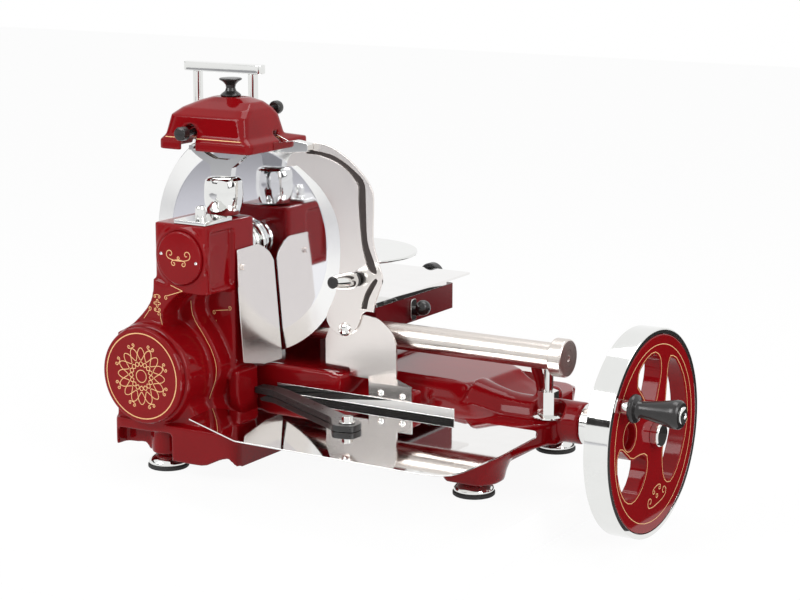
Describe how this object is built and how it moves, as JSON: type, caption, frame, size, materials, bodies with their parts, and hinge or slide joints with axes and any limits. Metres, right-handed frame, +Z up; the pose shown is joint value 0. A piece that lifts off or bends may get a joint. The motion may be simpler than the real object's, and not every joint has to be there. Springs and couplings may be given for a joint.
{
  "type": "hand crank meat slicer",
  "caption": "Counter-top meat slicer turned by a large flywheel: geared round blade, sliding carriage with press, gauge plate, sharpener and tray.",
  "frame": {"origin": "on the plane of the feet, under the middle of the machine", "axes": "+X along the carriage travel towards the flywheel, +Y from the column side to the back of the table, +Z up"},
  "size_m": [0.855, 0.5401, 0.5375],
  "materials": {
    "red": "glossy deep red enamel",
    "dark_red": "satin dark red enamel",
    "chrome": "bright chrome plate",
    "steel": "satin brushed steel",
    "mirror_steel": "mirror polished steel",
    "black_plastic": "glossy black turned plastic",
    "black_iron": "black painted casting",
    "iron": "oiled dark iron",
    "stone": "fine grey grinding stone"
  },
  "bodies": {
    "machine": {"base_casting": "red", "column_casting": "red", "lower_gear_cover": "red", "upper_gear_cover": "red", "column_top_plate": "chrome", "foot_front_left": "chrome", "foot_front_right": "chrome", "foot_back_right": "chrome", "foot_back_left": "chrome", "axle_housing": "chrome", "drive_chain": "iron", "guide_tube": "chrome", "guide_tube_cap": "chrome", "tube_post": "chrome", "rear_rail": "steel", "gauge_plate": "steel", "pivot_bolt": "chrome", "bracket_screw_left": "chrome", "bracket_screw_right": "chrome", "support_plate": "steel", "deflector_plate": "steel", "sharpener_cover": "red", "sharpener_yoke": "chrome", "sharpener_cup": "chrome", "stone_rear": "stone", "sharpener_bracket": "chrome", "tray": "mirror_steel", "tray_arm": "black_iron", "tray_bolt": "chrome"},
    "wheel": {"flywheel": "red", "flywheel_rim": "chrome", "flywheel_hub_cap": "chrome", "flywheel_shaft": "steel", "shaft_collar": "chrome", "flywheel_bevel_gear": "iron", "crank_pin": "chrome", "grip_end_screw": "chrome"},
    "grip": {"crank_grip": "black_plastic"},
    "cross_gears": {"cross_shaft": "steel", "cross_bevel_gear": "iron", "drive_gear": "iron"},
    "pinion_shaft": {"pinion": "iron"},
    "blade_spindle": {"blade": "mirror_steel", "blade_axle": "steel", "upper_sprocket": "iron"},
    "carriage": {"carriage_frame": "dark_red", "lever_plate": "chrome"},
    "table": {"product_table": "steel", "press_post_left": "chrome", "press_post_right": "chrome", "press_crossbar": "chrome"},
    "press": {"press_carrier": "chrome", "press_plate": "chrome"},
    "lever": {"ball_lever": "black_plastic"},
    "feed": {"feed_knob": "black_plastic"},
    "guard_grip": {"guard_handle": "chrome"},
    "top_knob": {"sharpener_knob": "black_plastic"},
    "button": {"push_button": "black_plastic", "stone_front": "stone"},
    "clamp_knob": {"rear_knob": "black_plastic"}
  },
  "joints": [
    {"name": "flywheel_spin", "type": "hinge", "parent": "machine", "child": "wheel", "pos_m": [-0.2, 0.045, 0.087], "axis": [1, 0, 0], "continuous": true},
    {"name": "grip_spin", "type": "hinge", "parent": "wheel", "child": "grip", "pos_m": [0.38, -0.047, 0.141], "axis": [1, 0, 0], "continuous": true},
    {"name": "cross_spin", "type": "hinge", "parent": "machine", "child": "cross_gears", "pos_m": [-0.249, -0.005, 0.087], "axis": [0, 1, 0], "continuous": true},
    {"name": "pinion_spin", "type": "hinge", "parent": "machine", "child": "pinion_shaft", "pos_m": [-0.249, -0.005, 0.127], "axis": [0, 1, 0], "continuous": true},
    {"name": "blade_spin", "type": "hinge", "parent": "machine", "child": "blade_spindle", "pos_m": [-0.2, -0.005, 0.281], "axis": [0, 1, 0], "continuous": true},
    {"name": "carriage_slide", "type": "slide", "parent": "machine", "child": "carriage", "axis": [1, 0, 0], "range_m": [0, 0.2]},
    {"name": "table_feed", "type": "slide", "parent": "carriage", "child": "table", "axis": [0, 1, 0], "range_m": [0, 0.06]},
    {"name": "press_slide", "type": "slide", "parent": "table", "child": "press", "axis": [0, 0, 1], "range_m": [-0.03, 0.13]},
    {"name": "ball_lever_turn", "type": "hinge", "parent": "carriage", "child": "lever", "pos_m": [-0.01, 0.095, 0.19], "axis": [1, 0, 0], "range_deg": [-60, 30]},
    {"name": "feed_knob_turn", "type": "hinge", "parent": "table", "child": "feed", "pos_m": [-0.078, 0.25, 0.205], "axis": [0, 1, 0], "continuous": true},
    {"name": "guard_handle_turn", "type": "hinge", "parent": "machine", "child": "guard_grip", "pos_m": [-0.028, -0.0136, 0.2475], "axis": [0, 0.9954, -0.0958], "range_deg": [0, 180]},
    {"name": "sharpener_knob_turn", "type": "hinge", "parent": "machine", "child": "top_knob", "pos_m": [-0.215, -0.019, 0.471], "axis": [0, 0, 1], "range_deg": [-180, 180]},
    {"name": "button_push", "type": "slide", "parent": "machine", "child": "button", "axis": [0, 1, 0], "range_m": [0, 0.004], "stiffness_N_per_m": 400, "springref_m": -0.002},
    {"name": "clamp_knob_turn", "type": "hinge", "parent": "machine", "child": "clamp_knob", "pos_m": [-0.173, 0.019, 0.455], "axis": [0, 1, 0], "range_deg": [-180, 180]}
  ],
  "couplings": [
    {"joint": "cross_spin", "follows": "flywheel_spin", "ratio": 1},
    {"joint": "pinion_spin", "follows": "flywheel_spin", "ratio": -2},
    {"joint": "blade_spin", "follows": "flywheel_spin", "ratio": -2.5455}
  ]
}
